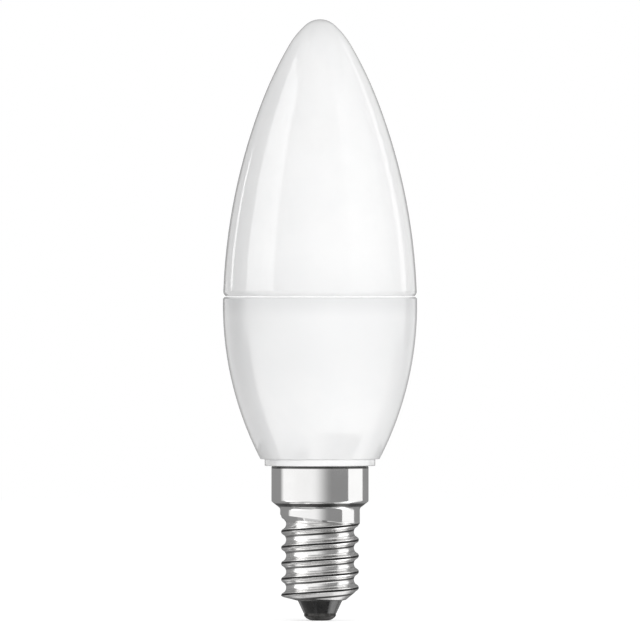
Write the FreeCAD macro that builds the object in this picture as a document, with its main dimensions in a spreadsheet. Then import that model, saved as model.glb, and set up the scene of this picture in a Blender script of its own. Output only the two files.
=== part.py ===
import FreeCAD, Part
import math
import os
import Sketcher

# Candle bulb with a small screw cap. The origin is the bottom of the centre contact, on the
# lamp's axis, and +Z points to the tip of the diffuser. Every length is in millimetres and
# every angle in degrees.

PARTS_FOLDER = "parts"
EDGE_SEARCH = 0.001  # how far an edge may lie from the place that names it
SEW_REACH = 1e-5  # how far apart the thread's faces may lie to be joined
TURN_STEPS = 8  # spans of one turn of a helical face
SPARE_TURNS = 2  # turns that the threaded rods run on past each end of the cap
HALVINGS = 50  # steps of the search for the flank's turn

SIZES = [
    # Diffuser: an ogive of four arcs that run into each other
    ("overall_length", 106.5),
    ("body_radius", 17.2),
    ("dome_level_drop", 2.8),
    ("nose_radius", 3.8),
    ("tip_radius", 15.0),
    ("tip_sweep", 18.1),
    ("shoulder_radius", 69.2),
    ("shoulder_sweep", 9.3),
    ("rim_rounding", 1.0),
    ("seam_height", 57.3),
    ("spigot_depth", 2.5),
    # Housing
    ("rim_wall", 2.5),
    ("housing_level_drop", 1.4),
    ("rim_chamfer", 0.3),
    ("skin_step", 0.75),
    ("skin_rounding", 0.2),
    ("ring_ledge", 1.2),
    ("ring_depth", 1.2),
    ("ring_rounding", 0.15),
    # Screw cap, all one sheet
    ("cap_top", 27.4),
    ("sheet_thickness", 0.3),
    ("skirt_radius", 8.6),
    ("skirt_length", 6.3),
    ("skirt_rounding", 0.4),
    ("rim_edge_rounding", 0.28),
    ("shoulder_drop", 1.2),
    ("neck_radius", 7.05),
    ("neck_length", 1.97),
    ("neck_rounding", 0.6),
    ("run_out", 1.4),
    ("run_out_undercut", 0.22),
    ("run_out_lean", 0.66),
    ("thread_pitch", 2.822),
    ("crest_radius", 6.88),
    ("thread_depth", 0.88),
    ("crest_arc", 0.52),
    ("top_crest_drop", 2.22),
    ("end_height", 3.5),
    ("end_rise", 0.37),
    ("corner_radius", 5.4),
    ("corner_width", 1.6),
    ("corner_rise", 1.15),
    ("corner_lean", 0.43),
    ("end_hole_radius", 3.95),
    ("hole_rounding", 0.2),
    # Insulator and contact
    ("flange_radius", 4.45),
    ("flange_thickness", 1.4),
    ("foot_height", 1.3),
    ("foot_radius", 2.9),
    ("contact_radius", 2.83),
    ("contact_flat", 1.2),
    ("contact_edge_rise", 0.84),
    ("shank_radius", 0.9),
    ("shank_length", 1.8),
    # Clearances between pieces
    ("slide_gap", 0.1),
    ("seat_gap", 0.02),
]


class Length:
    """A size, or what is worked out from sizes, with its value and its spreadsheet expression."""

    def __init__(self, value, text):
        self.value = value
        self.text = text

    def combine(self, other, sign, value):
        text = other.text if isinstance(other, Length) else repr(other)
        return Length(value, f"({self.text} {sign} {text})")

    def __add__(self, other):
        return self.combine(other, "+", self.value + number(other))

    def __sub__(self, other):
        return self.combine(other, "-", self.value - number(other))

    def __mul__(self, other):
        return self.combine(other, "*", self.value * number(other))

    def __truediv__(self, other):
        return self.combine(other, "/", self.value / number(other))

    def root(self):
        return Length(math.sqrt(self.value), f"sqrt({self.text})")


def number(thing):
    return thing.value if isinstance(thing, Length) else thing


class Sizes:
    """The driving sizes, each written once, in a spreadsheet of the document."""

    def __init__(self, doc, rows):
        self.sheet = doc.addObject("Spreadsheet::Sheet", "Sizes")
        for row, (name, value) in enumerate(rows, start=1):
            self.sheet.set(f"A{row}", name)
            self.sheet.set(f"B{row}", str(value))
            self.sheet.setAlias(f"B{row}", name)
        doc.recompute()

    def __getattr__(self, name):
        return Length(float(getattr(self.sheet, name)), f"Sizes.{name}")


doc = FreeCAD.newDocument("CandleBulb")
sizes = Sizes(doc, SIZES)

# Places that more than one piece uses, all worked out from the sizes above

NOUGHT = Length(0.0, "0.0")
dome_level = sizes.seam_height - sizes.dome_level_drop
housing_level = sizes.seam_height - sizes.housing_level_drop
mouth_radius = sizes.body_radius - sizes.rim_wall
spigot_radius = mouth_radius - sizes.slide_gap
skirt_bottom = sizes.cap_top - sizes.skirt_length
neck_top = skirt_bottom - sizes.shoulder_drop
run_top = neck_top - sizes.neck_length
run_bottom = run_top - sizes.run_out
top_crest_height = run_top - sizes.top_crest_drop
root_radius = sizes.crest_radius - sizes.thread_depth
skin_end_height = sizes.cap_top + sizes.ring_depth
ring_radius = sizes.skirt_radius + sizes.ring_ledge
skin_end_radius = ring_radius + sizes.skin_step
end_slope = sizes.end_rise / (sizes.corner_radius - sizes.end_hole_radius)
insulator_top = sizes.end_height + sizes.sheet_thickness + sizes.end_rise + sizes.flange_thickness


def even_sheet(width, drop):
    """How far up a corner moves on the inside of a sheet that turns from upright onto a slope."""
    slant = (width * width + drop * drop).root()
    return sizes.sheet_thickness * ((slant - drop) / width)


class Section:
    """A closed half section in the plane of the axis, for a piece that is round about it."""

    def __init__(self, name):
        self.body = doc.addObject("PartDesign::Body", name)
        self.body.Label = name
        plane = [f for f in self.body.Origin.OriginFeatures if f.Role == "XZ_Plane"][0]
        self.sketch = self.body.newObject("Sketcher::SketchObject", name + "_section")
        self.sketch.AttachmentSupport = [(plane, "")]
        self.sketch.MapMode = "FlatFace"
        self.ends = []

    def constrain(self, *arguments):
        return self.sketch.addConstraint(Sketcher.Constraint(*arguments))

    def bind(self, kind, *arguments):
        """A dimension whose last argument is a Length, tied to the spreadsheet."""
        length = arguments[-1]
        value = math.radians(length.value) if kind == "Angle" else length.value
        index = self.constrain(kind, *arguments[:-1], value)
        label = f"size_{index}"
        self.sketch.renameConstraint(index, label)
        unit = " * 1 deg" if kind == "Angle" else ""
        self.sketch.setExpression(f"Constraints.{label}", length.text + unit)

    def fix(self, geometry, position, place):
        """Puts a point at its radius and height. A radius or height of nought is an axis."""
        radius, height = place
        if number(radius) == 0.0:
            self.constrain("PointOnObject", geometry, position, -2)
        else:
            self.bind("DistanceX", -1, 1, geometry, position, radius)
        if number(height) == 0.0:
            self.constrain("PointOnObject", geometry, position, -1)
        else:
            self.bind("DistanceY", -1, 1, geometry, position, height)

    def add(self, shape, start, end):
        """Adds an edge and joins it to the one before; start and end are its own end numbers."""
        index = self.sketch.addGeometry(shape, False)
        if self.ends:
            previous = self.ends[-1]
            self.constrain("Coincident", previous[0], previous[2], index, start)
        self.ends.append((index, start, end))
        return index

    def line(self, first, last):
        index = self.add(Part.LineSegment(flat(first), flat(last)), 1, 2)
        self.fix(index, 1, first)
        return index

    def corner_arc(self, first, last, centre, radius):
        """A quarter or less of a circle between two places, about a centre."""
        middle = flat(centre)
        angles = [math.atan2(p.y - middle.y, p.x - middle.x) for p in (flat(first), flat(last))]
        forward = (angles[1] - angles[0]) % (2.0 * math.pi) < math.pi
        low, high = angles if forward else reversed(angles)
        circle = Part.Circle(middle, FreeCAD.Vector(0, 0, 1), radius.value)
        start, end = (1, 2) if forward else (2, 1)
        index = self.add(Part.ArcOfCircle(circle, low, high), start, end)
        self.fix(index, start, first)
        self.bind("Radius", index, radius)
        return index

    def outline(self, places):
        """Straight edges from each place to the next."""
        for first, last in zip(places, places[1:]):
            self.line(first, last)

    def close(self):
        first, last = self.ends[0], self.ends[-1]
        self.constrain("Coincident", last[0], last[2], first[0], first[1])

    def revolve(self):
        feature = self.body.newObject("PartDesign::Revolution", self.body.Name + "_turned")
        feature.Profile = self.sketch
        feature.ReferenceAxis = (self.sketch, ["V_Axis"])
        feature.Angle = 360.0
        doc.recompute()
        return feature

    def round_edges(self, name, base, place, radius):
        """Rounds the circular edge that lies at a radius and height."""
        wanted = []
        for index, edge in enumerate(base.Shape.Edges, start=1):
            curve = edge.Curve
            if not isinstance(curve, Part.Circle):
                continue
            off = math.hypot(curve.Radius - place[0].value, curve.Center.z - place[1].value)
            if off < EDGE_SEARCH:
                wanted.append(f"Edge{index}")
        feature = self.body.newObject("PartDesign::Fillet", f"{self.body.Name}_{name}")
        feature.Base = (base, wanted)
        feature.Radius = radius.value
        feature.setExpression("Radius", radius.text)
        doc.recompute()
        return feature


def flat(place):
    return FreeCAD.Vector(number(place[0]), number(place[1]), 0.0)


# Diffuser: the dome, its rounded lower rim and the spigot that enters the housing


def ogive_arcs():
    """Centre, radius and end angles of the dome's arcs, from the rim to the tip.

    The flank starts upright at the widest radius. Its radius and how far it turns are what
    brings the outline to the tip, with the other arcs at the sizes that they have.
    """
    nose = sizes.nose_radius.value
    upper = [
        (sizes.shoulder_radius.value, math.radians(sizes.shoulder_sweep.value)),
        (sizes.tip_radius.value, math.radians(sizes.tip_sweep.value)),
    ]
    quarter = math.pi / 2.0

    def left_for_flank(turn):
        """Reach and rise of the flank, if it turns that far before the arcs above it."""
        reach = sizes.body_radius.value
        rise = sizes.overall_length.value - dome_level.value
        angle = turn
        for radius, sweep in upper + [(nose, quarter)]:
            high = min(angle + sweep, quarter)
            reach -= radius * (math.cos(angle) - math.cos(high))
            rise -= radius * (math.sin(high) - math.sin(angle))
            angle = high
        return reach, rise

    # A flank that turns by an angle reaches tan(angle / 2) times its rise
    least, most = 0.0, quarter - sum(sweep for _, sweep in upper)
    for _ in range(HALVINGS):
        turn = (least + most) / 2.0
        reach, rise = left_for_flank(turn)
        if math.tan(turn / 2.0) * rise < reach:
            least = turn
        else:
            most = turn
    flank = rise / math.sin(turn)
    centre = flat((sizes.body_radius.value - flank, dome_level))
    arcs = [(centre, flank, 0.0, turn)]
    for radius, sweep in upper + [(nose, quarter)]:
        below, below_radius, _, low = arcs[-1]
        outward = FreeCAD.Vector(math.cos(low), math.sin(low), 0.0)
        high = min(low + sweep, quarter)
        arcs.append((below + outward * (below_radius - radius), radius, low, high))
    return arcs


def make_diffuser():
    section = Section("diffuser")
    arcs = ogive_arcs()
    flank_centre, flank_radius, _, _ = arcs[0]
    rounding = sizes.rim_rounding.value
    # The rim's rounding touches the seat below it and the flank beside it
    rise = sizes.seam_height.value + rounding - flank_centre.y
    reach = math.sqrt((flank_radius - rounding) ** 2 - rise**2)
    rim_centre = FreeCAD.Vector(flank_centre.x + reach, flank_centre.y + rise, 0.0)
    rim_end = math.atan2(rise, reach)
    normal = FreeCAD.Vector(0, 0, 1)
    rim_circle = Part.Circle(rim_centre, normal, rounding)
    rim = section.add(Part.ArcOfCircle(rim_circle, -math.pi / 2.0, rim_end), 1, 2)
    section.bind("Radius", rim, sizes.rim_rounding)
    chain = []
    for index, (centre, radius, low, high) in enumerate(arcs):
        start = rim_end if index == 0 else low
        circle = Part.Circle(centre, normal, radius)
        chain.append(section.sketch.addGeometry(Part.ArcOfCircle(circle, start, high), False))
    flank, shoulder, tip, nose = chain
    for first, second in zip([rim] + chain, chain):
        section.constrain("Tangent", first, 2, second, 1)
    section.bind("DistanceY", -1, 1, flank, 3, dome_level)
    section.bind("Radius", shoulder, sizes.shoulder_radius)
    section.bind("Radius", tip, sizes.tip_radius)
    section.bind("Radius", nose, sizes.nose_radius)
    section.bind("Angle", shoulder, sizes.shoulder_sweep)
    section.bind("Angle", tip, sizes.tip_sweep)
    section.constrain("PointOnObject", nose, 3, -2)
    section.constrain("PointOnObject", nose, 2, -2)
    section.bind("DistanceY", -1, 1, nose, 2, sizes.overall_length)
    widest = flat((sizes.body_radius, dome_level))
    level = section.sketch.addGeometry(Part.LineSegment(flank_centre, widest), True)
    section.constrain("Coincident", level, 1, flank, 3)
    section.constrain("Horizontal", level)
    section.constrain("PointOnObject", level, 2, flank)
    section.bind("DistanceX", -1, 1, level, 2, sizes.body_radius)
    section.ends.append((nose, 1, 2))
    # Down the axis, round the spigot and out along the seat
    spigot_end = sizes.seam_height - sizes.spigot_depth
    axis_line = Part.LineSegment(flat((NOUGHT, sizes.overall_length)), flat((NOUGHT, spigot_end)))
    section.add(axis_line, 1, 2)
    section.outline([
        (NOUGHT, spigot_end),
        (spigot_radius, spigot_end),
        (spigot_radius, sizes.seam_height),
    ])
    seat_start = (spigot_radius, sizes.seam_height)
    seat_end = (rim_centre.x, sizes.seam_height)
    seat = section.add(Part.LineSegment(flat(seat_start), flat(seat_end)), 1, 2)
    section.fix(seat, 1, seat_start)
    section.constrain("Horizontal", seat)
    section.constrain("Tangent", seat, 2, rim, 1)
    section.revolve()
    return section.body


# Housing: the outer skin, the step ring above the cap and the neck inside the cap


def make_housing():
    section = Section("housing")
    mouth_floor = sizes.seam_height - sizes.spigot_depth - sizes.slide_gap
    chamfer_bottom = sizes.seam_height - sizes.rim_chamfer
    # One arc, upright at its level, from the rim down to the end of the skin
    widest, end = sizes.body_radius.value, skin_end_radius.value
    drop = housing_level.value - skin_end_height.value
    radius = (drop**2 + (widest - end) ** 2) / (2.0 * (widest - end))
    centre = FreeCAD.Vector(widest - radius, housing_level.value, 0.0)
    rim_rise = chamfer_bottom.value - centre.y
    start = math.asin((skin_end_height.value - centre.y) / radius)
    circle = Part.Circle(centre, FreeCAD.Vector(0, 0, 1), radius)
    arc = Part.ArcOfCircle(circle, start, math.asin(rim_rise / radius))
    skin = section.add(arc, 1, 2)
    section.fix(skin, 1, (skin_end_radius, skin_end_height))
    section.bind("DistanceY", -1, 1, skin, 2, chamfer_bottom)
    section.bind("DistanceY", -1, 1, skin, 3, housing_level)
    level_end = flat((sizes.body_radius, housing_level))
    level = section.sketch.addGeometry(Part.LineSegment(centre, level_end), True)
    section.constrain("Coincident", level, 1, skin, 3)
    section.constrain("Horizontal", level)
    section.constrain("PointOnObject", level, 2, skin)
    section.bind("DistanceX", -1, 1, level, 2, sizes.body_radius)
    # The chamfer at the rim, as wide as it is high
    rim_radius = centre.x + radius * math.cos(math.asin(rim_rise / radius))
    rim_top = FreeCAD.Vector(rim_radius - sizes.rim_chamfer.value, sizes.seam_height.value, 0.0)
    rim_point = FreeCAD.Vector(rim_radius, chamfer_bottom.value, 0.0)
    chamfer = section.add(Part.LineSegment(rim_point, rim_top), 1, 2)
    section.bind("DistanceX", chamfer, 2, chamfer, 1, sizes.rim_chamfer)
    top = section.add(Part.LineSegment(rim_top, flat((mouth_radius, sizes.seam_height))), 1, 2)
    section.bind("DistanceY", -1, 1, top, 1, sizes.seam_height)
    # The mouth, the axis and the neck, then back out under the ring
    clear = sizes.sheet_thickness + sizes.slide_gap
    upper_neck = sizes.skirt_radius - clear
    middle_neck = sizes.neck_radius - clear
    lower_neck = root_radius - clear
    neck_end = insulator_top + sizes.slide_gap
    section.outline([
        (mouth_radius, sizes.seam_height),
        (mouth_radius, mouth_floor),
        (NOUGHT, mouth_floor),
        (NOUGHT, neck_end),
        (lower_neck, neck_end),
        (lower_neck, run_bottom + sizes.run_out_lean + clear),
        (middle_neck, run_top + sizes.run_out_lean + clear),
        (middle_neck, neck_top + clear),
        (upper_neck, skirt_bottom + clear),
        (upper_neck, sizes.cap_top),
        (ring_radius, sizes.cap_top),
        (ring_radius, skin_end_height),
        (skin_end_radius, skin_end_height),
    ])
    section.close()
    turned = section.revolve()
    ring_edge = (ring_radius, sizes.cap_top)
    ring = section.round_edges("ring_edge", turned, ring_edge, sizes.ring_rounding)
    skin_edge = (skin_end_radius, skin_end_height)
    section.round_edges("skin_edge", ring, skin_edge, sizes.skin_rounding)
    return section.body


# Screw cap: one sheet that is drawn to a cup, stepped and rolled to a thread. The outside
# and the inside are each made as a full form, and the sheet is what lies between them.


def helix_poles(turn_steps):
    """Poles, weights and knots of one turn about the axis, of radius one and one pitch high."""
    half_step = math.pi / turn_steps
    poles, weights = [], []
    for index in range(2 * turn_steps + 1):
        angle = half_step * index
        weight = math.cos(half_step) if index % 2 else 1.0
        height = sizes.thread_pitch.value * index / (2 * turn_steps)
        poles.append(FreeCAD.Vector(math.cos(angle) / weight, math.sin(angle) / weight, height))
        weights.append(weight)
    repeats = [3] + [2] * (turn_steps - 1) + [3]
    return poles, weights, repeats, [float(step) for step in range(turn_steps + 1)]


def helical_face(section_poles, repeats_across):
    """The face that a section, given as radius, height and weight, sweeps in one turn."""
    turn, turn_weights, repeats, knots = helix_poles(TURN_STEPS)
    poles, weights = [], []
    for pole, turn_weight in zip(turn, turn_weights):
        poles.append([FreeCAD.Vector(r * pole.x, r * pole.y, z + pole.z) for r, z, _ in section_poles])
        weights.append([turn_weight * weight for _, _, weight in section_poles])
    surface = Part.BSplineSurface()
    across = len(section_poles) - 1
    surface.buildFromPolesMultsKnots(
        poles, repeats, repeats_across, knots, [0.0, 1.0], False, False, 2, across, weights
    )
    return surface.toShape()


def arc_section(radius_of_centre, height_of_centre, radius, middle_angle, half_angle):
    """A circular arc as three poles with weights."""
    poles = []
    for turn in (-1, 0, 1):
        weight = math.cos(half_angle) if turn == 0 else 1.0
        reach = radius / weight if turn == 0 else radius
        angle = middle_angle + turn * half_angle
        across = radius_of_centre + reach * math.cos(angle)
        poles.append((across, height_of_centre + reach * math.sin(angle), weight))
    return poles


def thread_rod(name, inset):
    """A solid rod with the thread's form, inset by part of the sheet, longer than the cap.

    The section is a crest arc and a root arc that run into each other. An inset makes the
    crest arc smaller and the root arc larger about the same centres.
    """
    pitch = sizes.thread_pitch.value
    depth = sizes.thread_depth.value
    half = pitch / 2.0
    both_arcs = (half**2 + depth**2) / (2.0 * depth)
    flank = math.asin(half / both_arcs)
    crest_arc = sizes.crest_arc.value - inset
    root_arc = both_arcs - crest_arc
    crest_centre = sizes.crest_radius.value - sizes.crest_arc.value
    root_centre = crest_centre + both_arcs * math.cos(flank)
    edge_radius = crest_centre + crest_arc * math.cos(flank)
    edge_rise = crest_arc * math.sin(flank)
    # A crest passes the -X side, half a turn on from +X, at the height of the top crest
    top_crest = top_crest_height.value - half
    below = math.ceil((top_crest - sizes.end_height.value) / pitch) + SPARE_TURNS
    first = top_crest - below * pitch
    turns = math.ceil((run_top.value - first) / pitch) + SPARE_TURNS
    faces = []
    for turn in range(turns):
        height = first + turn * pitch
        crest = arc_section(crest_centre, height, crest_arc, 0.0, flank)
        root = arc_section(root_centre, height + half, root_arc, math.pi, -flank)
        faces.append(helical_face(crest, [3, 3]))
        faces.append(helical_face(root, [3, 3]))
    # Each end is a ramp of one turn and the step that closes it
    for height in (first - edge_rise, first + turns * pitch - edge_rise):
        faces.append(helical_face([(0.0, height, 1.0), (edge_radius, height, 1.0)], [2, 2]))
        corner = FreeCAD.Vector(edge_radius, 0, height)
        crest_top = FreeCAD.Vector(crest_centre + crest_arc, 0, height + edge_rise)
        flank_end = FreeCAD.Vector(edge_radius, 0, height + 2.0 * edge_rise)
        root_bottom = FreeCAD.Vector(root_centre - root_arc, 0, height + edge_rise + half)
        upper = FreeCAD.Vector(edge_radius, 0, height + pitch)
        axis_top = FreeCAD.Vector(0, 0, height + pitch)
        axis_bottom = FreeCAD.Vector(0, 0, height)
        edges = [
            Part.Arc(corner, crest_top, flank_end).toShape(),
            Part.Arc(flank_end, root_bottom, upper).toShape(),
            Part.makeLine(upper, axis_top),
            Part.makeLine(axis_top, axis_bottom),
            Part.makeLine(axis_bottom, corner),
        ]
        faces.append(Part.Face(Part.Wire(edges)))
    shell = Part.makeShell(faces)
    shell.sewShape(SEW_REACH)
    solid = Part.Solid(shell)
    if solid.Volume < 0.0:
        solid.reverse()
    rod = doc.addObject("Part::Feature", name)
    rod.Shape = solid
    return rod


def upper_form(name, inset, shoulder_lift, top):
    """Skirt, shoulder and neck as a full form, down past the thread's first turn.

    Returns the section and its last feature, so that more edges can be rounded.
    """
    section = Section(name)
    skirt = sizes.skirt_radius - inset
    neck = sizes.neck_radius - inset
    bottom = run_bottom - sizes.run_out
    shoulder_edge = (skirt, skirt_bottom + shoulder_lift)
    neck_edge = (neck, neck_top + shoulder_lift)
    section.outline([
        (NOUGHT, bottom),
        (neck, bottom),
        neck_edge,
        shoulder_edge,
        (skirt, top),
        (NOUGHT, top),
        (NOUGHT, bottom),
    ])
    section.close()
    turned = section.revolve()
    shoulder = section.round_edges("shoulder", turned, shoulder_edge, sizes.skirt_rounding - inset)
    neck_end = section.round_edges("neck", shoulder, neck_edge, sizes.neck_rounding + inset)
    return section, neck_end


def leaning_cone(name, foot, slope, height, lean, lean_radius):
    """A cone that widens upwards from a foot, open above, for trimming round forms.

    It leans about the Y axis by a rise at a radius, and a rise above nought lifts the +X side.
    It is so much wider and taller than the cap that only its slope trims.
    """
    section = Section(name)
    outside = sizes.skirt_radius * 2.0
    cone_top = (outside - foot) * slope
    open_top = cone_top + sizes.cap_top
    section.outline([
        (NOUGHT, NOUGHT),
        (foot, NOUGHT),
        (outside, cone_top),
        (outside, open_top),
        (NOUGHT, open_top),
        (NOUGHT, NOUGHT),
    ])
    section.close()
    section.revolve()
    angle = math.degrees(math.atan(lean.value / lean_radius.value))
    turn = FreeCAD.Rotation(FreeCAD.Vector(0, -1, 0), angle)
    section.body.Placement = FreeCAD.Placement(FreeCAD.Vector(0, 0, height.value), turn)
    section.body.setExpression("Placement.Base.z", height.text)
    section.body.setExpression("Placement.Rotation.Angle", f"atan({lean.text} / {lean_radius.text})")
    return section.body


def run_out_form(name, inset, lift):
    """What the neck is trimmed to below, so that the thread's top groove runs out at the front."""
    foot_radius = root_radius - sizes.run_out_undercut
    foot = foot_radius - inset
    slope = sizes.run_out / (sizes.neck_radius - foot_radius)
    lean = NOUGHT - sizes.run_out_lean
    return leaning_cone(name, foot, slope, run_bottom + lift, lean, sizes.neck_radius)


def corner_form(name, inset, lift):
    """What the thread's lower end is trimmed to outside the shallow cone about the hole."""
    slope = sizes.corner_rise / sizes.corner_width
    inward = sizes.corner_radius - sizes.end_hole_radius
    foot = sizes.end_hole_radius - inset
    height = sizes.end_height + sizes.end_rise - inward * slope + lift
    return leaning_cone(name, foot, slope, height, sizes.corner_lean, root_radius)


def end_form(name, lift):
    """The shallow cone about the end's hole, which the thread's lower end is trimmed to."""
    section = Section(name)
    hole = sizes.end_hole_radius
    bottom = sizes.end_height + lift
    outside = sizes.crest_radius + sizes.sheet_thickness
    section.outline([
        (NOUGHT, bottom),
        (hole, bottom),
        (outside, bottom + (outside - hole) * end_slope),
        (outside, neck_top),
        (NOUGHT, neck_top),
        (NOUGHT, bottom),
    ])
    section.close()
    section.revolve()
    return section.body


def hole_form():
    """The hole in the end, with the rounded lower edge that punching leaves."""
    section = Section("end_hole")
    hole = sizes.end_hole_radius
    wide = hole + sizes.hole_rounding
    below = sizes.end_height - sizes.sheet_thickness
    round_top = sizes.end_height + sizes.hole_rounding
    above = sizes.end_height + sizes.sheet_thickness * 2.0
    section.outline([
        (NOUGHT, above),
        (NOUGHT, below),
        (wide, below),
        (wide, sizes.end_height),
    ])
    section.corner_arc((wide, sizes.end_height), (hole, round_top), (wide, round_top), sizes.hole_rounding)
    section.outline([
        (hole, round_top),
        (hole, above),
        (NOUGHT, above),
    ])
    section.close()
    section.revolve()
    return section.body


def boolean(kind, name, **links):
    made = doc.addObject(f"Part::{kind}", name)
    for link, target in links.items():
        setattr(made, link, target)
    doc.recompute()
    return made


def make_screw_cap():
    sheet = sizes.sheet_thickness
    run_lift = even_sheet(sizes.neck_radius - root_radius + sizes.run_out_undercut, sizes.run_out)
    corner_lift = even_sheet(sizes.corner_width, sizes.corner_rise)
    shoulder_lift = even_sheet(sizes.skirt_radius - sizes.neck_radius, sizes.shoulder_drop)
    # Outside
    rolled = boolean(
        "MultiCommon",
        "rolled_outside",
        Shapes=[
            thread_rod("thread_outside", 0.0),
            end_form("end_outside", NOUGHT),
            corner_form("corner_outside", NOUGHT, NOUGHT),
        ],
    )
    section, neck_end = upper_form("skirt_outside", NOUGHT, NOUGHT, sizes.cap_top)
    rim_edge = (sizes.skirt_radius, sizes.cap_top)
    section.round_edges("rim", neck_end, rim_edge, sizes.rim_edge_rounding)
    run_out = run_out_form("run_out_outside", NOUGHT, NOUGHT)
    upper = boolean("Common", "upper_outside", Base=section.body, Tool=run_out)
    outside = boolean("Fuse", "cap_outside", Base=rolled, Tool=upper)
    # Inside, open at the skirt's top and at the end's hole
    rolled = boolean(
        "MultiCommon",
        "rolled_inside",
        Shapes=[
            thread_rod("thread_inside", sheet.value),
            end_form("end_inside", sheet),
            corner_form("corner_inside", sheet, corner_lift),
        ],
    )
    open_top = sizes.cap_top + sizes.skirt_length
    section, _ = upper_form("skirt_inside", sheet, shoulder_lift, open_top)
    run_out = run_out_form("run_out_inside", sheet, run_lift)
    upper = boolean("Common", "upper_inside", Base=section.body, Tool=run_out)
    inside = boolean("MultiFuse", "cap_inside", Shapes=[rolled, upper, hole_form()])
    cap = boolean("Cut", "screw_cap", Base=outside, Tool=inside)
    cap.Label = "screw_cap"
    return cap


# Insulator: the cone that stands out of the cap's end, with a flange seated inside the end


def make_insulator():
    section = Section("insulator")
    seat_bottom = sizes.end_height + sizes.sheet_thickness + sizes.seat_gap
    stem = sizes.end_hole_radius - sizes.seat_gap
    flange_edge = seat_bottom + (sizes.flange_radius - stem) * end_slope
    pocket_radius = sizes.shank_radius + sizes.seat_gap
    pocket_top = sizes.foot_height + sizes.shank_length + sizes.slide_gap
    section.outline([
        (pocket_radius, sizes.foot_height),
        (sizes.foot_radius, sizes.foot_height),
        (stem, sizes.end_height),
        (stem, seat_bottom),
        (sizes.flange_radius, flange_edge),
        (sizes.flange_radius, insulator_top),
        (NOUGHT, insulator_top),
        (NOUGHT, pocket_top),
        (pocket_radius, pocket_top),
        (pocket_radius, sizes.foot_height),
    ])
    section.close()
    section.revolve()
    return section.body


# Centre contact: a pin with a domed head, its shank pressed up into the insulator


def make_contact():
    section = Section("centre_contact")
    reach = sizes.contact_radius - sizes.contact_flat
    side_rise = sizes.contact_edge_rise
    crown = (reach * reach + side_rise * side_rise) / (side_rise * 2.0)
    side = (sizes.contact_radius, side_rise)
    section.line((NOUGHT, NOUGHT), (sizes.contact_flat, NOUGHT))
    section.corner_arc((sizes.contact_flat, NOUGHT), side, (sizes.contact_flat, crown), crown)
    head_top = sizes.foot_height
    shank_top = sizes.foot_height + sizes.shank_length
    section.outline([
        side,
        (sizes.contact_radius, head_top),
        (sizes.shank_radius, head_top),
        (sizes.shank_radius, shank_top),
        (NOUGHT, shank_top),
        (NOUGHT, NOUGHT),
    ])
    section.close()
    section.revolve()
    return section.body


def check_document(pieces):
    """Every object must be up to date and every piece one valid solid."""
    doc.recompute()
    for thing in doc.Objects:
        if "Invalid" in thing.State or "Error" in thing.State:
            raise RuntimeError(f"{thing.Name} failed: {thing.State}")
    for piece in pieces:
        shape = piece.Shape
        if shape.isNull() or not shape.isValid() or len(shape.Solids) != 1:
            raise RuntimeError(f"{piece.Label} isn't one valid solid")


def write_parts(pieces):
    os.makedirs(PARTS_FOLDER, exist_ok=True)
    for piece in pieces:
        piece.Shape.exportStep(os.path.join(PARTS_FOLDER, piece.Label + ".step"))
        print(f"{piece.Label}: {piece.Shape.Volume:.2f} mm3, {len(piece.Shape.Faces)} faces")


pieces = [make_diffuser(), make_housing(), make_screw_cap(), make_insulator(), make_contact()]
check_document(pieces)
write_parts(pieces)
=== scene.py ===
import math

import bpy
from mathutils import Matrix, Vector

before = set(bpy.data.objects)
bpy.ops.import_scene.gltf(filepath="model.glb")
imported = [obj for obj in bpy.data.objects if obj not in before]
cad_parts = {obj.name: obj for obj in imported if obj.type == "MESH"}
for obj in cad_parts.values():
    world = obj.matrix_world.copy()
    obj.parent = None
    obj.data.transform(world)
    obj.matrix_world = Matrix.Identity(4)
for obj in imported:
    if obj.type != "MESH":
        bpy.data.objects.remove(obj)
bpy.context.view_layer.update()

# The looks of a candle bulb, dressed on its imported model. Lengths are in metres in the model's
# frame: the origin is the bottom of the centre contact and +Z points to the tip. Directions
# round the lamp are degrees of azimuth, 0 towards the camera and positive to its right.

MM = 0.001
MICRON = 1.0e-6
TURN = 2.0 * math.pi

# How the photograph frames the lamp
FRAME_PIXELS = 640
PIXELS_PER_MM = 5.645
FOOT_ROW = 620.0

# A long lens, and how many times nearer and further than the lamp it still sees
FOCAL_LENGTH = 700.0
SENSOR_WIDTH = 36.0
TIMES_NEARER, TIMES_FURTHER = 100.0, 10.0


def add_object(name, data):
    """A new object in the scene."""
    added = bpy.data.objects.new(name, data)
    bpy.context.scene.collection.objects.link(added)
    return added


def add_mesh(name, places, faces, material):
    """A new mesh object in the scene, of one material."""
    mesh = bpy.data.meshes.new(name)
    mesh.from_pydata(places, [], faces)
    mesh.materials.append(material)
    return add_object(name, mesh)


def make_camera():
    """Level with the middle of the frame, looking along +Y."""
    frame_height = FRAME_PIXELS / PIXELS_PER_MM * MM
    middle_row = (FRAME_PIXELS - 1) / 2.0
    level = (FOOT_ROW - middle_row) / PIXELS_PER_MM * MM
    distance = frame_height * FOCAL_LENGTH / SENSOR_WIDTH
    data = bpy.data.cameras.new("camera")
    data.lens = FOCAL_LENGTH
    data.sensor_width = SENSOR_WIDTH
    data.clip_start = distance / TIMES_NEARER
    data.clip_end = distance * TIMES_FURTHER
    camera = add_object("camera", data)
    camera.location = (0.0, -distance, level)
    camera.rotation_euler = (math.radians(90.0), 0.0, 0.0)
    bpy.context.scene.camera = camera


# Studio: a white world, soft lights, cards that only reflections show, and a floor

WORLD_LIGHT = 0.54

FLOOR_RADIUS = 1.5
FLOOR_SIDES = 96
FLOOR_COLOUR = (0.92, 0.92, 0.92, 1.0)
FLOOR_LIFT = 0.5  # the glow that brings the lit floor to white

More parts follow.
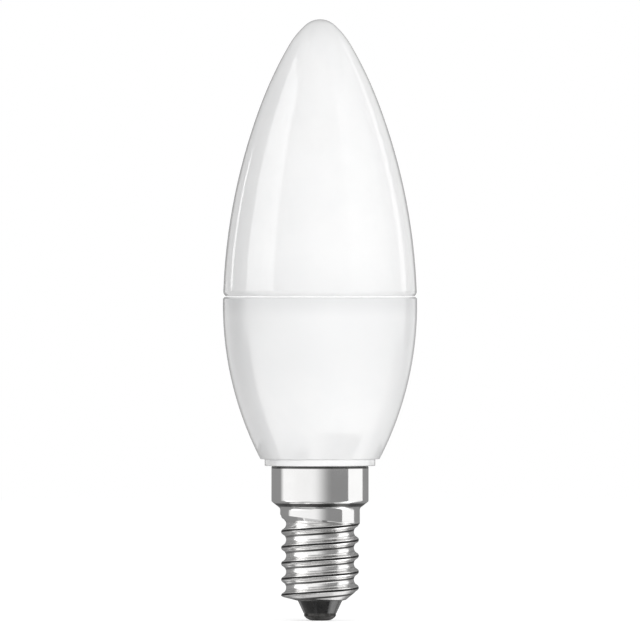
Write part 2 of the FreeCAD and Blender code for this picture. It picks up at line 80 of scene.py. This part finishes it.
# name, azimuth, elevation, what it adds to a white card that faces it
LIGHTS = [
    ("key", 18.0, 6.0, 0.46),
    ("fill", -75.0, 20.0, 0.08),
]
LIGHT_DISTANCE = 1.0
LIGHT_WIDTH = 0.5
LIGHT_HEIGHT = 0.22

# A card is cut into faces of about so many degrees, or millimetres of height
CARD_CELL = 6.0
GLOW = "glow"

# Far cards, on a sphere round the middle of the lamp, and the elevations where they meet
CARD_DISTANCE = 0.5
CARD_CENTRE = Vector((0.0, 0.0, 50.0 * MM))
BOTTOM, UNDER, LOW, LEVEL, HIGH = -90.0, -62.0, -41.0, -7.0, 3.0
MIDDLE, UPPER, STEEP, TOP = 17.0, 34.0, 46.0, 62.0
BACK = 155.0  # the azimuth, to either side, where the card behind the lamp begins

# name, azimuths, elevations, brightness at each of the two azimuths
CARDS = [
    # Behind the lamp, so that its outline is drawn in grey
    ("behind", (BACK, 360.0 - BACK), (UNDER, TOP), (0.22, 0.22)),
    # Beside the dome
    ("dome_left_flag", (-BACK, -133.5), (HIGH, STEEP), (0.8, 0.8)),
    ("dome_left_strip", (-133.5, -128.5), (HIGH, MIDDLE), (2.8, 2.8)),
    ("dome_left_strip_high", (-133.5, -128.5), (MIDDLE, STEEP), (1.3, 1.3)),
    ("dome_left_gap", (-128.5, -98.0), (HIGH, STEEP), (0.9, 0.9)),
    ("dome_left_box", (-98.0, -56.0), (HIGH, STEEP), (2.7, 2.7)),
    ("dome_front", (-56.0, 36.0), (HIGH, UPPER), (1.15, 1.15)),
    ("dome_front_high", (-56.0, 36.0), (UPPER, TOP), (0.8, 0.8)),
    ("dome_right_box", (36.0, 92.0), (HIGH, STEEP), (1.7, 1.7)),
    ("dome_right_side", (92.0, 113.0), (HIGH, STEEP), (1.5, 1.5)),
    ("dome_right_strip", (113.0, 124.0), (HIGH, STEEP), (2.3, 2.3)),
    ("dome_right_flag", (124.0, BACK), (HIGH, STEEP), (1.1, 1.0)),
    ("dome_left_high", (-BACK, -56.0), (STEEP, TOP), (0.8, 1.3)),
    ("dome_right_high", (36.0, BACK), (STEEP, TOP), (1.2, 0.7)),
    # Over the lamp
    ("over_dark", (-180.0, 180.0), (TOP, 90.0), (0.35, 0.35)),
    # Level with the screw cap
    ("cap_left_flag", (-BACK, -108.0), (LEVEL, HIGH), (1.0, 0.33)),
    ("cap_left_edge", (-108.0, -96.0), (LEVEL, HIGH), (0.33, 1.15)),
    ("cap_left_box", (-96.0, -20.0), (LEVEL, HIGH), (1.18, 1.12)),
    ("cap_front", (-20.0, 28.0), (LEVEL, HIGH), (1.12, 1.15)),
    ("cap_front_flag", (28.0, 71.0), (LEVEL, HIGH), (1.15, 1.2)),
    ("cap_right_box", (71.0, 122.0), (LEVEL, HIGH), (1.22, 1.22)),
    ("cap_right_flag", (122.0, BACK), (LEVEL, HIGH), (0.5, 1.1)),
    # Below the housing
    ("low_left_flag", (-BACK, -95.0), (LOW, LEVEL), (0.85, 0.45)),
    ("low_left_box", (-95.0, -20.0), (LOW, LEVEL), (1.7, 1.1)),
    ("low_front", (-20.0, 71.0), (LOW, LEVEL), (1.15, 1.3)),
    ("low_right_box", (71.0, 104.0), (LOW, LEVEL), (1.3, 1.3)),
    ("low_right_side", (104.0, 146.0), (LOW, LEVEL), (0.9, 0.8)),
    ("low_right_flag", (146.0, BACK), (LOW, LEVEL), (0.8, 0.8)),
    # Under the lamp
    ("under_left", (-BACK, -30.0), (UNDER, LOW), (1.1, 1.2)),
    ("under_front", (-30.0, 60.0), (UNDER, LOW), (1.1, 1.3)),
    ("under_right", (60.0, BACK), (UNDER, LOW), (1.3, 1.1)),
    ("under_dark", (-30.0, 60.0), (BOTTOM, UNDER), (0.2, 0.2)),
    ("under_sides", (60.0, 330.0), (BOTTOM, UNDER), (0.7, 0.7)),
]

# Cards on an upright cylinder close to the screw cap, which the housing above hardly faces:
# name, azimuths, heights in millimetres, brightness
CAP_RADIUS = 19.0  # millimetres too
CAP_CARDS = [
    ("near_cap_left", (-142.0, -86.5), (-1.0, 27.4), (0.3, 0.33)),
    ("near_cap_front", (-15.5, 21.7), (4.0, 27.2), (1.12, 0.31)),
    ("near_cap_front_flag", (21.7, 55.8), (4.0, 27.2), (0.31, 0.31)),
    ("near_cap_right", (98.7, 142.0), (-1.0, 27.4), (0.33, 0.3)),
]

# Cards close below the lamp's foot, which the insulator and the contact face:
# name, azimuths, elevations, brightness
FOOT_DISTANCE = 0.06
FOOT_CENTRE = Vector((0.0, 0.0, 5.0 * MM))
FOOT_CARDS = [
    ("near_left", (-130.0, -25.0), (-50.0, -24.0), (0.45, 0.25)),
    ("near_front", (-25.0, 62.0), (-70.0, -34.0), (0.25, 0.25)),
    ("near_right", (62.0, 84.0), (-48.0, -27.0), (1.6, 3.4)),
    ("near_right_side", (84.0, 120.0), (-48.0, -27.0), (3.4, 2.0)),
]


def direction(azimuth, elevation):
    """The unit vector that points there from the lamp."""
    turn, rise = math.radians(azimuth), math.radians(elevation)
    level = math.cos(rise)
    return Vector((math.sin(turn) * level, -math.cos(turn) * level, math.sin(rise)))


def far_place(azimuth, elevation):
    return CARD_CENTRE + direction(azimuth, elevation) * CARD_DISTANCE


def foot_place(azimuth, elevation):
    return FOOT_CENTRE + direction(azimuth, elevation) * FOOT_DISTANCE


def cap_place(azimuth, height):
    return (direction(azimuth, 0.0) * CAP_RADIUS + Vector((0.0, 0.0, height))) * MM


def smooth(share):
    """A share that starts and ends gently."""
    return share * share * (3.0 - 2.0 * share)


def between(ends, share):
    """The number that lies at a share of the way from one end to the other."""
    return ends[0] + share * (ends[1] - ends[0])


def cells(ends):
    """How many faces a card has between two ends."""
    return max(1, round((ends[1] - ends[0]) / CARD_CELL))


def make_card(name, azimuths, rises, levels, place):
    """A curved card about the lamp, which glows and fades from side to side.

    Its place function takes an azimuth and a rise, which is an elevation or a height.
    """
    across, up = cells(azimuths), cells(rises)
    places = []
    shades = []
    for column in range(across + 1):
        share = column / across
        for row in range(up + 1):
            places.append(place(between(azimuths, share), between(rises, row / up)))
            shades.append(between(levels, smooth(share)))
    faces = []
    for column in range(across):
        for row in range(up):
            corner = column * (up + 1) + row
            faces.append((corner, corner + 1, corner + up + 2, corner + up + 1))
    card = add_mesh(name, places, faces, card_material())
    glow = card.data.attributes.new(GLOW, "FLOAT", "POINT")
    glow.data.foreach_set("value", shades)
    card.visible_camera = False
    card.visible_diffuse = False
    card.visible_shadow = False


def card_material():
    """White light, as bright as the card's own attribute says. All cards share it."""
    found = bpy.data.materials.get("card")
    if found:
        return found
    material = bpy.data.materials.new("card")
    material.use_nodes = True
    tree = material.node_tree
    tree.nodes.clear()
    glow = tree.nodes.new("ShaderNodeAttribute")
    glow.attribute_name = GLOW
    light = tree.nodes.new("ShaderNodeEmission")
    output = tree.nodes.new("ShaderNodeOutputMaterial")
    tree.links.new(glow.outputs["Fac"], light.inputs["Strength"])
    tree.links.new(light.outputs["Emission"], output.inputs["Surface"])
    return material


def make_light(name, azimuth, elevation, level):
    """A large soft light that shows in no reflection."""
    data = bpy.data.lights.new(name, "AREA")
    data.shape = "RECTANGLE"
    data.size = LIGHT_WIDTH
    data.size_y = LIGHT_HEIGHT
    # White that faces the light sends back power / (pi * distance) ** 2
    data.energy = level * (math.pi * LIGHT_DISTANCE) ** 2
    light = add_object(name, data)
    towards = direction(azimuth, elevation)
    light.location = CARD_CENTRE + towards * LIGHT_DISTANCE
    light.rotation_euler = towards.to_track_quat("Z", "Y").to_euler()
    light.visible_glossy = False


def make_floor():
    """A pale disc under the lamp, which an eye sees as white as the world, with its shadow.

    From below it can't be seen, so that it doesn't hide the lamp's foot.
    """
    places = [Vector((0.0, 0.0, 0.0))]
    for side in range(FLOOR_SIDES):
        turn = TURN * side / FLOOR_SIDES
        places.append(Vector((math.cos(turn), math.sin(turn), 0.0)) * FLOOR_RADIUS)
    faces = [(0, side + 1, (side + 1) % FLOOR_SIDES + 1) for side in range(FLOOR_SIDES)]
    floor = add_mesh("floor", places, faces, floor_material())
    floor.visible_glossy = False


def seen_by_eye(tree):
    """One for rays from the camera, in reflections and through glass, and nought for others."""
    path = tree.nodes.new("ShaderNodeLightPath")
    total = path.outputs["Is Camera Ray"]
    for kind in ("Is Glossy Ray", "Is Transmission Ray"):
        either = tree.nodes.new("ShaderNodeMath")
        either.operation = "MAXIMUM"
        tree.links.new(total, either.inputs[0])
        tree.links.new(path.outputs[kind], either.inputs[1])
        total = either.outputs["Value"]
    return total


def floor_material():
    """Matt, with a glow that only the eye sees, and clear from below."""
    material = bpy.data.materials.new("floor")
    material.use_nodes = True
    tree = material.node_tree
    tree.nodes.clear()
    matt = tree.nodes.new("ShaderNodeBsdfDiffuse")
    matt.inputs["Color"].default_value = FLOOR_COLOUR
    lift = tree.nodes.new("ShaderNodeMath")
    lift.operation = "MULTIPLY"
    lift.inputs[1].default_value = FLOOR_LIFT
    tree.links.new(seen_by_eye(tree), lift.inputs[0])
    light = tree.nodes.new("ShaderNodeEmission")
    tree.links.new(lift.outputs["Value"], light.inputs["Strength"])
    both = tree.nodes.new("ShaderNodeAddShader")
    tree.links.new(matt.outputs["BSDF"], both.inputs[0])
    tree.links.new(light.outputs["Emission"], both.inputs[1])
    side = tree.nodes.new("ShaderNodeNewGeometry")
    clear = tree.nodes.new("ShaderNodeBsdfTransparent")
    one_sided = tree.nodes.new("ShaderNodeMixShader")
    tree.links.new(side.outputs["Backfacing"], one_sided.inputs[0])
    tree.links.new(both.outputs["Shader"], one_sided.inputs[1])
    tree.links.new(clear.outputs["BSDF"], one_sided.inputs[2])
    output = tree.nodes.new("ShaderNodeOutputMaterial")
    tree.links.new(one_sided.outputs["Shader"], output.inputs["Surface"])
    return material


def make_world():
    """White to the camera and in reflections, and a soft even light elsewhere."""
    world = bpy.data.worlds.new("studio")
    world.use_nodes = True
    tree = world.node_tree
    tree.nodes.clear()
    strength = tree.nodes.new("ShaderNodeMapRange")
    strength.inputs["To Min"].default_value = WORLD_LIGHT
    strength.inputs["To Max"].default_value = 1.0
    tree.links.new(seen_by_eye(tree), strength.inputs["Value"])
    back = tree.nodes.new("ShaderNodeBackground")
    back.inputs["Color"].default_value = (1.0, 1.0, 1.0, 1.0)
    tree.links.new(strength.outputs["Result"], back.inputs["Strength"])
    output = tree.nodes.new("ShaderNodeOutputWorld")
    tree.links.new(back.outputs["Background"], output.inputs["Surface"])
    bpy.context.scene.world = world


# Materials. Their patterns are worked out from the place on the lamp, in its own frame.

RIM_HEIGHT = 57.3 * MM  # the seam between housing and diffuser
# The next two are heights where the screw cap has painted shade
SKIRT_TOP = 27.15 * MM
SHOULDER_HEIGHT = 20.5 * MM
THREAD_TOP = 17.3 * MM
CREST_HEIGHT = 15.71 * MM  # where a crest of the thread passes the -X side
THREAD_PITCH = 2.822 * MM

# Painted dark reflections along the thread, where its crest and flanks would mirror dark
# surroundings: turns above its crest, half width, soft edge and depth of tone on the -X side and
# elsewhere, with X where the depth changes
THREAD_PAINTED_REFLECTIONS = [
    (0.02, 0.05, 0.025, 1.0, 1.0),
    (-0.345, 0.04, 0.045, 0.6, 0.95),
    (-0.66, 0.01, 0.06, 0.2, 0.4),
]
PAINTED_REFLECTIONS_CHANGE = (-4.5 * MM, -0.5 * MM)

CONTACT_RING = 0.18 * MM

# The noise values between which a pattern turns from one tone to the other
CLOUDY = (0.35, 0.65)
GRAINY = (0.3, 0.7)


class Finish:
    """A material with a Principled shader, and short calls that build its patterns."""

    def __init__(self, name, **inputs):
        self.material = bpy.data.materials.new(name)
        self.material.use_nodes = True
        self.tree = self.material.node_tree
        self.shader = self.tree.nodes["Principled BSDF"]
        for label, value in inputs.items():
            self.shader.inputs[label.replace("_", " ")].default_value = value
        self.place = self.tree.nodes.new("ShaderNodeTexCoord").outputs["Object"]
        axes = self.tree.nodes.new("ShaderNodeSeparateXYZ")
        self.link(self.place, axes.inputs[0])
        self.x, self.y, self.z = axes.outputs

    def link(self, source, target):
        self.tree.links.new(source, target)

    def feed(self, label, value):
        """Links a pattern to one of the shader's inputs."""
        self.link(value, self.shader.inputs[label])

    def put(self, value, socket):
        """Links a pattern to a socket, or sets the socket to a number or a colour."""
        if isinstance(value, bpy.types.NodeSocket):
            self.link(value, socket)
        else:
            socket.default_value = value

    def calc(self, operation, *values):
        """What a Math node makes of patterns and numbers."""
        node = self.tree.nodes.new("ShaderNodeMath")
        node.operation = operation
        for value, socket in zip(values, node.inputs):
            self.put(value, socket)
        return node.outputs[0]

    def noise(self, size, detail, stretch=(1.0, 1.0, 1.0)):
        """Noise with features of a size in metres, from nought to one."""
        scaled = self.tree.nodes.new("ShaderNodeVectorMath")
        scaled.operation = "MULTIPLY"
        scaled.inputs[1].default_value = stretch
        self.link(self.place, scaled.inputs[0])
        node = self.tree.nodes.new("ShaderNodeTexNoise")
        node.inputs["Scale"].default_value = 1.0 / size
        node.inputs["Detail"].default_value = detail
        self.link(scaled.outputs[0], node.inputs["Vector"])
        return node.outputs["Fac"]

    def ramp(self, value, low, high, start=0.0, end=1.0):
        """Start where the value is low, end where it is high, and a soft step between."""
        node = self.tree.nodes.new("ShaderNodeMapRange")
        node.interpolation_type = "SMOOTHSTEP"
        self.link(value, node.inputs["Value"])
        node.inputs["From Min"].default_value = low
        node.inputs["From Max"].default_value = high
        node.inputs["To Min"].default_value = start
        node.inputs["To Max"].default_value = end
        return node.outputs["Result"]

    def over_rim(self, low, high, start=0.0, end=1.0):
        """A ramp over heights in millimetres above the housing's rim."""
        return self.ramp(self.z, RIM_HEIGHT + low * MM, RIM_HEIGHT + high * MM, start, end)

    def band(self, height, flat, soft):
        """One within so far of a height, and nought beyond its soft edges."""
        off = self.calc("ABSOLUTE", self.calc("SUBTRACT", self.z, height))
        return self.ramp(off, flat, flat + soft, 1.0, 0.0)

    def helix_line(self, shift, flat, soft):
        """One along a helix that lies so many turns above the thread's crest."""
        turns = self.calc("DIVIDE", self.calc("SUBTRACT", self.z, CREST_HEIGHT), THREAD_PITCH)
        round_axis = self.calc("DIVIDE", self.calc("ARCTAN2", self.y, self.x), TURN)
        phase = self.calc("SUBTRACT", turns, round_axis)
        # On the -X side, half a turn round, the crest is at whole turns, so its phase is a half
        shifted = self.calc("ADD", phase, 1.0 - shift)
        off = self.calc("ABSOLUTE", self.calc("SUBTRACT", self.calc("FRACT", shifted), 0.5))
        return self.ramp(off, flat, flat + soft, 1.0, 0.0)

    def colours(self, share, first, second):
        """A mix of two colours by a share."""
        node = self.tree.nodes.new("ShaderNodeMix")
        node.data_type = "RGBA"
        self.put(share, node.inputs["Factor"])
        # The sockets for colours, whose names other kinds of value have too
        for value, socket in ((first, node.inputs[6]), (second, node.inputs[7])):
            self.put(value, socket)
        return node.outputs[2]

    def mottle(self, noise, spread, first, second):
        """Two colours in patches, as noise falls below a spread of values or rises above it."""
        return self.colours(self.ramp(noise, *spread), first, second)

    def bump(self, height, depth):
        """Surface relief of a depth in metres."""
        node = self.tree.nodes.new("ShaderNodeBump")
        node.inputs["Strength"].default_value = 1.0
        node.inputs["Distance"].default_value = depth
        self.link(height, node.inputs["Height"])
        self.feed("Normal", node.outputs["Normal"])


def grey(level, warmth=0.0):
    """A neutral colour, or a warmer or cooler one."""
    return (level * (1.0 + warmth), level, level * (1.0 - warmth), 1.0)


def opal_plastic():
    """Glossy moulded diffuser: faint clouds, flow marks, painted shade at its foot and a painted
    glow along its bottom edge.
    """
    finish = Finish("opal_plastic", IOR=1.58, Subsurface_Weight=0.6, Subsurface_Scale=MM)
    finish.shader.inputs["Subsurface Radius"].default_value = (6.0, 6.0, 6.0)
    clouds = finish.noise(9.0 * MM, 4.0)
    flow = finish.noise(2.5 * MM, 2.0, (1.0, 1.0, 0.12))
    tone = finish.mottle(clouds, CLOUDY, grey(0.895, -0.002), grey(0.915))
    # Painted shade: greyer towards the housing's rim, fading out 9 mm above it
    tone = finish.colours(finish.over_rim(0.0, 9.0, 0.4, 0.0), tone, grey(0.84, -0.004))
    finish.feed("Base Color", tone)
    # Painted light: a thin glow just above the housing's rim, though the diffuser is no lamp
    finish.feed("Emission Strength", finish.over_rim(0.08, 0.2, 0.3, 0.0))
    finish.feed("Roughness", finish.ramp(flow, *GRAINY, 0.05, 0.08))
    finish.bump(finish.calc("ADD", flow, finish.noise(0.6 * MM, 2.0)), 0.4 * MICRON)
    return finish.material


def white_plastic():
    """Satin moulded housing: eroded grain, faint clouds, painted shade darker upwards and under
    the seam, and a painted highlight at its rim.
    """
    finish = Finish("white_plastic", IOR=1.6, Specular_IOR_Level=0.9)
    clouds = finish.noise(7.0 * MM, 4.0)
    grain = finish.noise(0.22 * MM, 5.0)
    tone = finish.mottle(clouds, CLOUDY, grey(0.93, -0.003), grey(0.95))
    # Painted shade: darker towards the top, from 24 mm to 9 mm under the rim
    tone = finish.colours(finish.over_rim(-24.0, -9.0, 0.0, 0.6), tone, grey(0.82, -0.004))
    # Painted shade under the seam, over the last 4 mm below the rim
    tone = finish.colours(finish.over_rim(-4.0, -0.6), tone, grey(0.78, -0.006))
    # Painted highlight: a pale line just under the rim
    tone = finish.colours(finish.over_rim(-0.18, -0.1), tone, grey(0.97))
    finish.feed("Base Color", tone)
    finish.feed("Roughness", finish.ramp(grain, *GRAINY, 0.14, 0.2))
    finish.bump(grain, 0.5 * MICRON)
    return finish.material


def nickel_plate():
    """Bright plated sheet: drawing rings, smudges and specks, a rougher rolled thread, and
    painted shade and dark reflections.
    """
    finish = Finish("nickel_plate", Metallic=1.0)
    rings = finish.noise(0.5 * MM, 3.0, (0.02, 0.02, 3.0))
    smudges = finish.noise(3.0 * MM, 5.0)
    specks = finish.noise(0.35 * MM, 4.0)
    thread = finish.ramp(finish.z, THREAD_TOP, THREAD_TOP + 0.5 * MM, 1.0, 0.0)
    # Painted shade on the shoulder below the skirt
    shoulder = finish.calc("MULTIPLY", finish.band(SHOULDER_HEIGHT, 0.2 * MM, 0.2 * MM), 0.93)
    # Painted shadow of the housing along the top of the skirt
    top = finish.calc("MULTIPLY", finish.band(SKIRT_TOP, 0.15 * MM, 0.12 * MM), 0.9)
    painted_shade_and_reflections = finish.calc("MAXIMUM", shoulder, top)
    # Painted dark reflections along the thread, lines whose depth changes across X
    for shift, flat, soft, faint, full in THREAD_PAINTED_REFLECTIONS:
        depth = finish.ramp(finish.x, *PAINTED_REFLECTIONS_CHANGE, faint, full)
        mark = finish.calc("MULTIPLY", finish.helix_line(shift, flat, soft), depth)
        painted_shade_and_reflections = finish.calc("MAXIMUM", painted_shade_and_reflections, finish.calc("MULTIPLY", mark, thread))
    patchy = finish.ramp(specks, 0.25, 0.75, 0.96, 1.0)
    painted_shade_and_reflections = finish.calc("MULTIPLY", painted_shade_and_reflections, patchy)
    bright = finish.mottle(smudges, GRAINY, grey(0.77, 0.006), grey(0.79, 0.004))
    rolled = finish.mottle(specks, GRAINY, grey(0.77, 0.008), grey(0.83, 0.006))
    tone = finish.colours(thread, bright, rolled)
    # Where the painted shade, shadow and dark reflections lie, the colour turns near black
    tone = finish.colours(painted_shade_and_reflections, tone, grey(0.015, 0.02))
    finish.feed("Base Color", tone)
    rough = finish.ramp(smudges, *GRAINY, 0.075, 0.105)
    rough = finish.calc("ADD", rough, finish.calc("MULTIPLY", thread, 0.11))
    rough = finish.calc("ADD", rough, finish.calc("MULTIPLY", painted_shade_and_reflections, 0.2))
    finish.feed("Roughness", rough)
    finish.bump(finish.calc("ADD", rings, specks), 0.25 * MICRON)
    return finish.material


def black_glass():
    """Pressed black glass: small pits, and an uneven body, brown in its paler patches."""
    finish = Finish("black_insulator", IOR=1.5, Specular_IOR_Level=0.55)
    body = finish.noise(1.2 * MM, 4.0)
    pits = finish.noise(0.3 * MM, 4.0)
    finish.feed("Base Color", finish.mottle(body, GRAINY, grey(0.01, -0.03), grey(0.022, 0.02)))
    finish.feed("Roughness", finish.ramp(pits, 0.35, 0.75, 0.1, 0.2))
    finish.bump(pits, 3.0 * MICRON)
    return finish.material


def contact_metal():
    """Dark aged contact: rings from turning, a brighter rubbed middle and dark patches."""
    finish = Finish("contact_metal", Metallic=1.0)
    x_square = finish.calc("MULTIPLY", finish.x, finish.x)
    y_square = finish.calc("MULTIPLY", finish.y, finish.y)
    radius = finish.calc("SQRT", finish.calc("ADD", x_square, y_square))
    rings = finish.calc("SINE", finish.calc("MULTIPLY", radius, TURN / CONTACT_RING))
    patches = finish.noise(0.9 * MM, 5.0)
    rubbed = finish.ramp(radius, 0.5 * MM, 1.4 * MM, 1.0, 0.0)
    tone = finish.mottle(patches, (0.35, 0.7), grey(0.035, 0.03), grey(0.09, 0.02))
    finish.feed("Base Color", finish.colours(rubbed, tone, grey(0.34, 0.03)))
    finish.feed("Roughness", finish.ramp(patches, *GRAINY, 0.3, 0.48))
    finish.bump(finish.calc("ADD", rings, finish.calc("MULTIPLY", patches, 3.0)), MICRON)
    return finish.material


def dress(node, material):
    """Gives a node of the model its material."""
    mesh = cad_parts[node].data
    mesh.materials.clear()
    mesh.materials.append(material)


make_camera()
make_world()
for light in LIGHTS:
    make_light(*light)
make_floor()
for cards, place in ((CARDS, far_place), (CAP_CARDS, cap_place), (FOOT_CARDS, foot_place)):
    for card in cards:
        make_card(*card, place)
dress("diffuser", opal_plastic())
dress("housing", white_plastic())
dress("screw_cap", nickel_plate())
dress("insulator", black_glass())
dress("centre_contact", contact_metal())

bpy.context.scene.view_settings.view_transform = "Standard"
